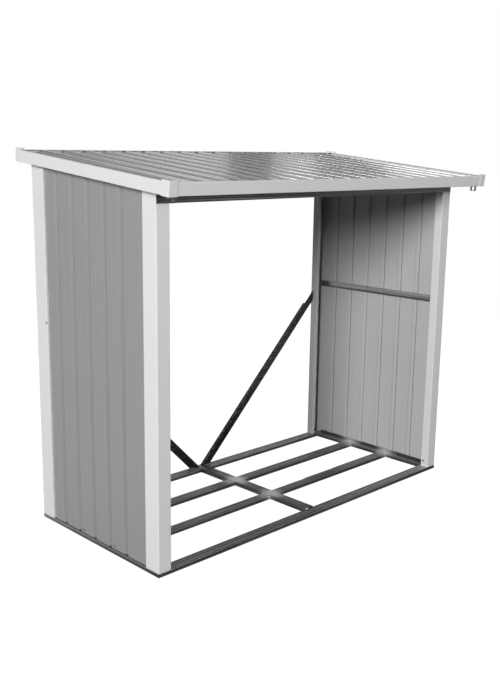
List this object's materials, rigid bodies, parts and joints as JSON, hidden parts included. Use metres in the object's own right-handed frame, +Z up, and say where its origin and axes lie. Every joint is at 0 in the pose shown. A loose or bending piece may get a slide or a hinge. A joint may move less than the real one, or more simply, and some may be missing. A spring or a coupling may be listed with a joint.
{
  "type": "log store",
  "caption": "Open-fronted metal log store: two ribbed side walls on a low channel floor frame, a lean-to ribbed roof and a V of back braces.",
  "frame": {"origin": "on the ground, in the middle of the overall width and of the overall depth", "axes": "+X along the front to the right as seen from the front, +Y from the front to the back, +Z up"},
  "size_m": [1.83, 0.9126, 1.499],
  "materials": {
    "wall_paint": "mid grey baked paint, satin",
    "roof_paint": "mid grey baked paint, satin",
    "trim_paint": "off-white baked paint, satin",
    "corner_cap": "off-white moulded plastic",
    "galvanised_steel": "rolled galvanised steel, dark, satin, with bright edges"
  },
  "bodies": {
    "root": {"back_floor_rail": "galvanised_steel", "back_left_cap": "corner_cap", "back_left_post": "trim_paint", "back_right_cap": "corner_cap", "back_right_post": "trim_paint", "back_roof_beam": "galvanised_steel", "back_roof_trim": "trim_paint", "floor_crossbar": "galvanised_steel", "front_floor_joist_left": "galvanised_steel", "front_floor_joist_right": "galvanised_steel", "front_floor_rail": "galvanised_steel", "front_left_cap": "corner_cap", "front_left_post": "trim_paint", "front_right_cap": "corner_cap", "front_right_post": "trim_paint", "front_roof_beam": "galvanised_steel", "front_roof_trim": "trim_paint", "left_brace": "galvanised_steel", "left_floor_rail": "galvanised_steel", "left_mid_rail": "galvanised_steel", "left_roof_clip": "galvanised_steel", "left_roof_trim": "trim_paint", "left_top_rail": "galvanised_steel", "left_wall_back_sheet": "wall_paint", "left_wall_front_sheet": "wall_paint", "rear_floor_joist": "galvanised_steel", "right_brace": "galvanised_steel", "right_floor_rail": "galvanised_steel", "right_mid_rail": "galvanised_steel", "right_roof_clip": "galvanised_steel", "right_roof_trim": "trim_paint", "right_top_rail": "galvanised_steel", "right_wall_back_sheet": "wall_paint", "right_wall_front_sheet": "wall_paint", "roof_sheet_1": "roof_paint", "roof_sheet_2": "roof_paint", "roof_sheet_3": "roof_paint", "roof_sheet_4": "roof_paint"}
  },
  "joints": []
}
